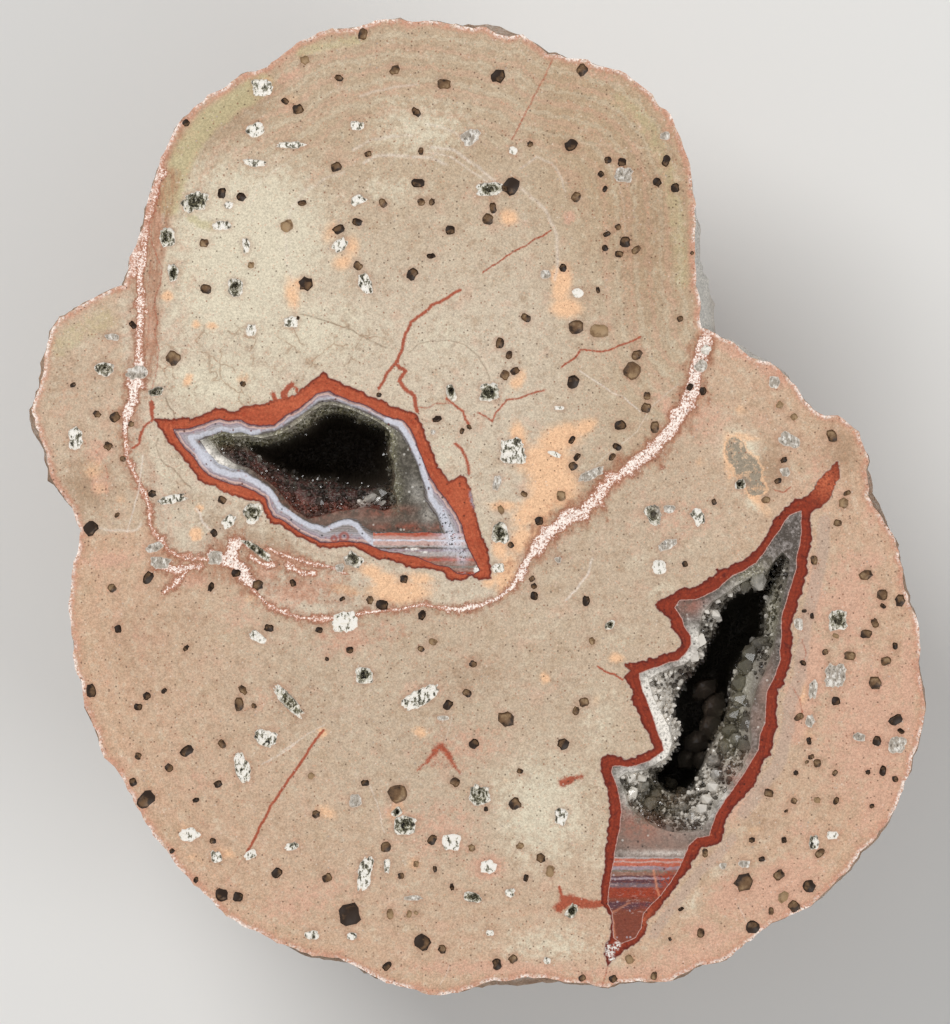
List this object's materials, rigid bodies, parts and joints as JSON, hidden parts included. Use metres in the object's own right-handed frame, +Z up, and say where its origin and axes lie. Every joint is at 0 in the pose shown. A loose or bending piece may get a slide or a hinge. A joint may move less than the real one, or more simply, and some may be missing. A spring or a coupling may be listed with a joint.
{
  "type": "thunder egg",
  "caption": "Sawn and polished half of a lobed rhyolite nodule with star-shaped hollows lined with jasper, agate and quartz crystals, resting on its rounded back.",
  "frame": {"origin": "middle of the base of the stone's bounding box, on the surface it rests on", "axes": "+Z up out of the sawn face, +Y towards the smaller upper lobe, +X to the right across the face"},
  "size_m": [0.1116, 0.1222, 0.046],
  "materials": {
    "rhyolite": "polished face, rough warty outside",
    "bright_jasper": "polished",
    "banded_agate": "polished",
    "waterline_agate": "polished",
    "smoky_quartz": "glassy crystals",
    "dark_jasper": "polished",
    "brown_jasper": "polished",
    "clear_quartz": "glassy crystals"
  },
  "bodies": {
    "root": {"rhyolite_nodule": "rhyolite", "upper_jasper_rim": "bright_jasper", "upper_agate_bands": "banded_agate", "upper_waterline_agate": "waterline_agate", "upper_quartz_crust": "smoky_quartz", "lower_jasper_rim": "dark_jasper", "lower_waterline_agate": "brown_jasper", "lower_quartz_crust": "clear_quartz"}
  },
  "joints": []
}
